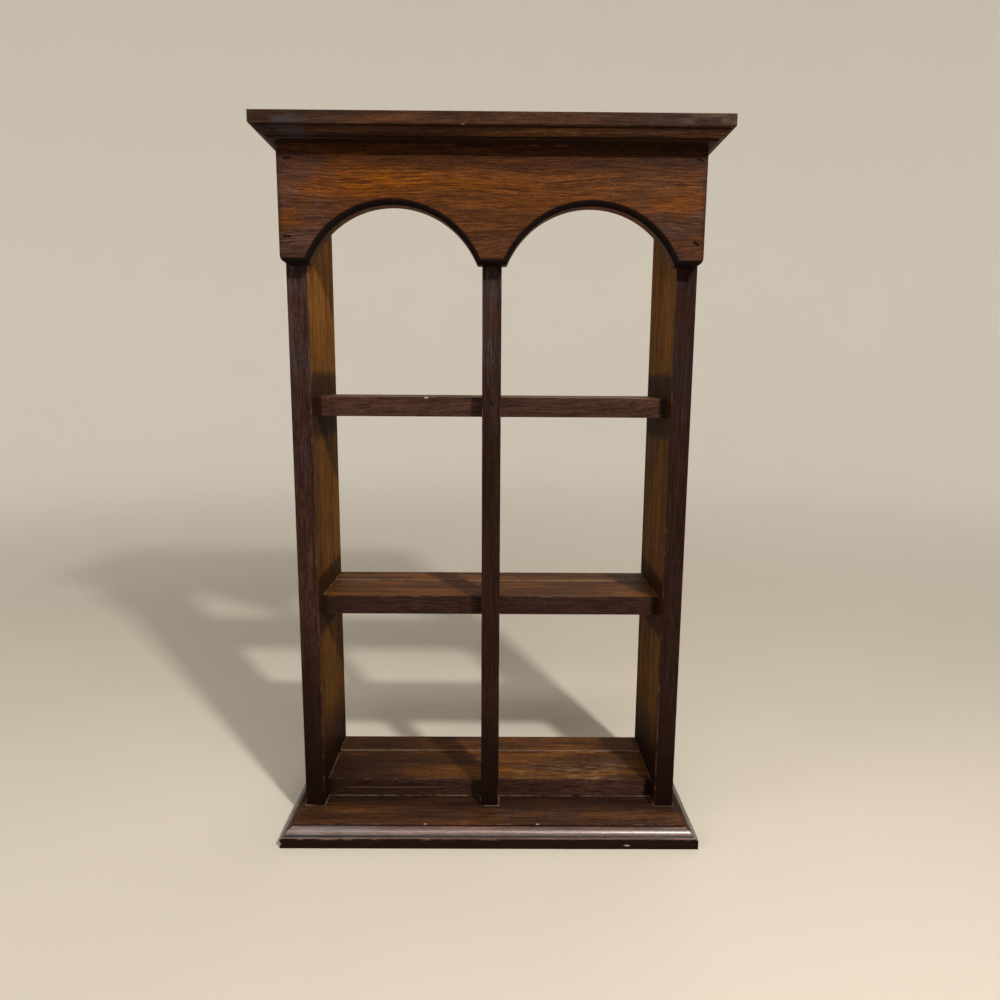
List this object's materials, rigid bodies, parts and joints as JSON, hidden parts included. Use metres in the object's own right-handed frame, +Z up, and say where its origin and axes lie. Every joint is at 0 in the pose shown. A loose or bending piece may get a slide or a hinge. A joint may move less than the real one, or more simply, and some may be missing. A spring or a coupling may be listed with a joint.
{
  "type": "wall curio shelf",
  "caption": "Open-backed wall curio shelf in dark stained wood with an arched valance, moulded cornice and base, a front stile and plate-grooved shelves.",
  "frame": {"origin": "middle of the part's box, on the surface that the base stands on", "axes": "+Z up, the front faces -Y, +X to the right as seen from the front"},
  "size_m": [0.413, 0.159, 0.68],
  "materials": {
    "upright_wood": "dark brown stain, satin lacquer",
    "shelf_wood": "red-brown stain, satin lacquer",
    "valance_wood": "red-brown stain, satin lacquer",
    "moulding_wood": "dark red-brown stain, satin lacquer, worn arrises",
    "staple_steel": "steel wire darkened by the stain",
    "hanger_steel": "zinc plated"
  },
  "bodies": {
    "root": {"left_side": "upright_wood", "right_side": "upright_wood", "centre_stile": "upright_wood", "top_shelf": "shelf_wood", "middle_shelf": "shelf_wood", "bottom_shelf": "shelf_wood", "arched_valance": "valance_wood", "base_board": "moulding_wood", "cornice_board": "moulding_wood", "valance_staples": "staple_steel", "stile_staple": "staple_steel", "left_side_staples": "staple_steel", "right_side_staples": "staple_steel", "base_staples": "staple_steel", "cornice_staples": "staple_steel", "left_keyhole_hanger": "hanger_steel", "right_keyhole_hanger": "hanger_steel", "left_hanger_screws": "hanger_steel", "right_hanger_screws": "hanger_steel"}
  },
  "joints": []
}
